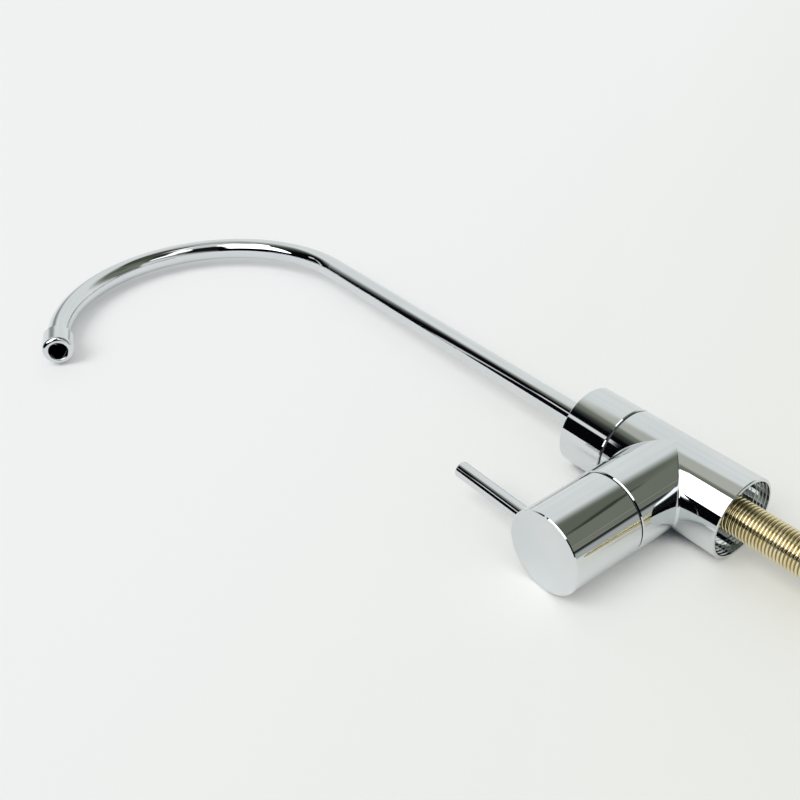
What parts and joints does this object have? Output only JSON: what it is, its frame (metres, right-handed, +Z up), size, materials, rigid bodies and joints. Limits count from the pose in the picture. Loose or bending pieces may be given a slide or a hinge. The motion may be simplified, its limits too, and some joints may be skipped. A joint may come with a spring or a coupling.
{
  "type": "drinking water filter tap",
  "caption": "Slim chrome filter tap: upright body with a side quarter-turn lever handle, a swivel gooseneck spout and a long threaded shank.",
  "frame": {"origin": "centre of the body's foot on the deck, on the axis of the shank", "axes": "+Z up the body's axis, -X along the side branch to the handle, with the spout at rest over the handle"},
  "size_m": [0.142, 0.028, 0.3362],
  "materials": {
    "chrome": "polished plating",
    "shank_brass": "bright nickelled brass",
    "brass": "turned",
    "rubber": "matt",
    "nylon_dark": "matt",
    "nylon_pale": "matt",
    "ceramic": "lapped white ceramic",
    "steel": "bright"
  },
  "bodies": {
    "tap_body": {"body": "chrome", "shank": "shank_brass", "shank_seal": "rubber", "swivel_washer": "nylon_dark", "cartridge_housing": "brass", "cartridge_o_ring": "rubber", "seat_seal": "rubber", "fixed_disc": "ceramic", "handle_slip_ring": "nylon_dark"},
    "spout": {"spout_tube": "chrome", "spout_nozzle": "chrome", "spout_collar": "chrome", "spout_stem": "brass", "stem_o_ring_upper": "rubber", "stem_o_ring_lower": "rubber", "stem_snap_ring": "steel"},
    "handle": {"handle_barrel": "chrome", "lever_rod": "chrome", "handle_set_screw": "steel", "spindle": "brass", "moving_disc": "ceramic", "spindle_thrust_washer": "nylon_pale", "spindle_o_ring_inner": "rubber", "spindle_o_ring_outer": "rubber", "spindle_circlip": "steel"}
  },
  "joints": [
    {"name": "spout_swivel", "type": "hinge", "parent": "tap_body", "child": "spout", "pos_m": [0, 0, 0.045], "axis": [0, 0, 1], "continuous": true},
    {"name": "handle_turn", "type": "hinge", "parent": "tap_body", "child": "handle", "pos_m": [-0.029, 0, 0.0275], "axis": [1, 0, 0], "range_deg": [0, 90]}
  ]
}
